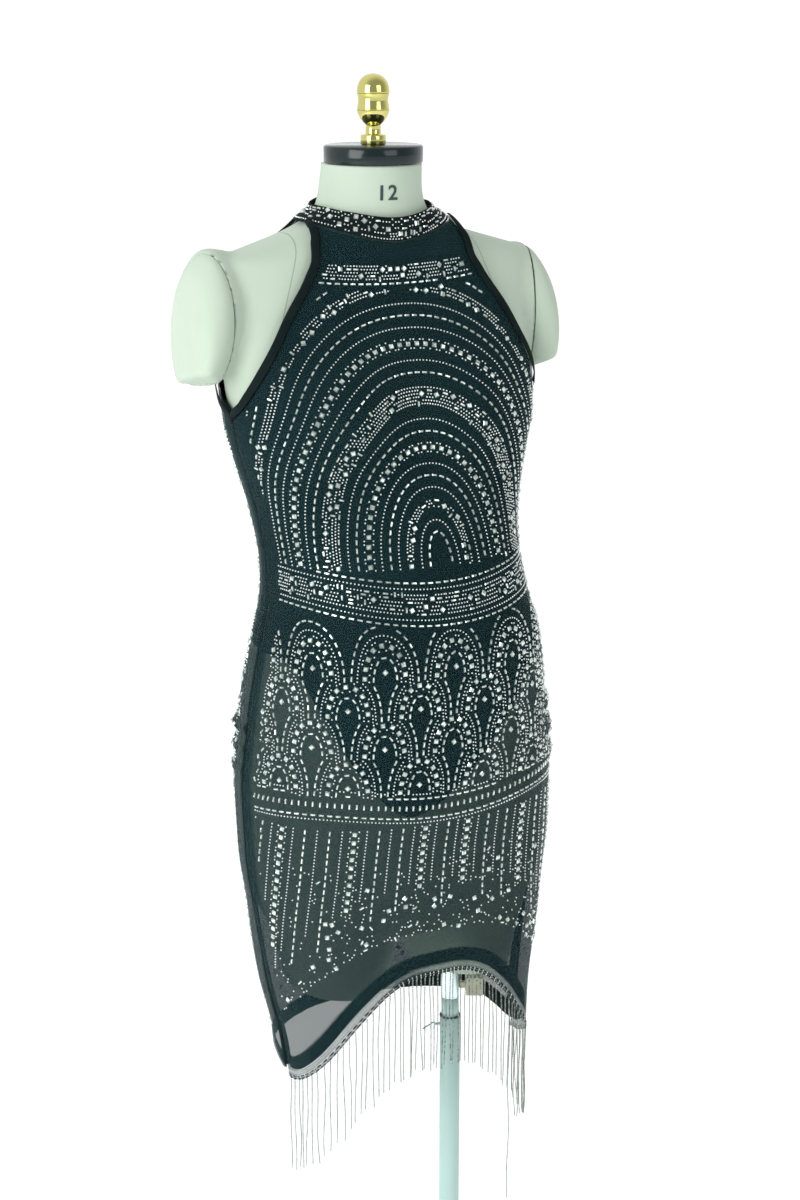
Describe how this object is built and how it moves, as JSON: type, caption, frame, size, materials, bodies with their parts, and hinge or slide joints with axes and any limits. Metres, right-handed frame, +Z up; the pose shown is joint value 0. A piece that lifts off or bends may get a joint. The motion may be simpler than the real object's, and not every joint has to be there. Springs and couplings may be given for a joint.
{
  "type": "fringed halter dress on dress form",
  "caption": "Fitted sleeveless high-neck dress of dark mesh strewn with small stones, fringed along a scooped front hem, on a limbless dress form with pole and round base.",
  "frame": {"origin": "centre of the base plate's underside, on the mid-plane of the dress form", "axes": "+Z up, -Y out of the wearer's front, +X to the wearer's left"},
  "size_m": [0.44, 0.38, 1.636],
  "materials": {
    "mesh_cloth": "sheer stretch power mesh, matt",
    "lining_cloth": "opaque knitted lining, matt",
    "trim_cloth": "folded stretch mesh, matt",
    "clear_tape": "translucent woven tape",
    "rhinestones": "clear stones with silver backs, bright",
    "button_cloth": "cloth-covered",
    "form_cover": "tightly stretched fine linen cover, matt",
    "black_cap": "gloss black",
    "brass": "polished",
    "chrome": "polished",
    "pole_paint": "satin grey-beige",
    "base_paint": "satin pale grey",
    "black_ring": "matt black",
    "catch_plastic": "matt beige"
  },
  "bodies": {
    "root": {"form_torso": "form_cover", "form_shoulder_cap_left": "form_cover", "form_shoulder_cap_right": "form_cover", "neck_cap": "black_cap", "finial": "brass", "base_plate": "base_paint", "base_socket": "base_paint", "pole_lower": "pole_paint", "pole_upper": "pole_paint", "pole_sleeve": "chrome", "pole_ring": "black_ring", "wing_bolt": "chrome", "pole_catch": "catch_plastic", "lining_front": "lining_cloth", "lining_back": "lining_cloth", "front_panel": "mesh_cloth", "back_panel": "mesh_cloth", "armhole_binding_left": "trim_cloth", "armhole_binding_right": "trim_cloth", "front_hem_band": "trim_cloth", "hem_tape": "clear_tape", "fringe_header": "trim_cloth", "fringe": "rhinestones", "loose_strand": "rhinestones", "collar": "trim_cloth", "collar_button_lower": "button_cloth", "collar_button_upper": "button_cloth"}
  },
  "joints": []
}
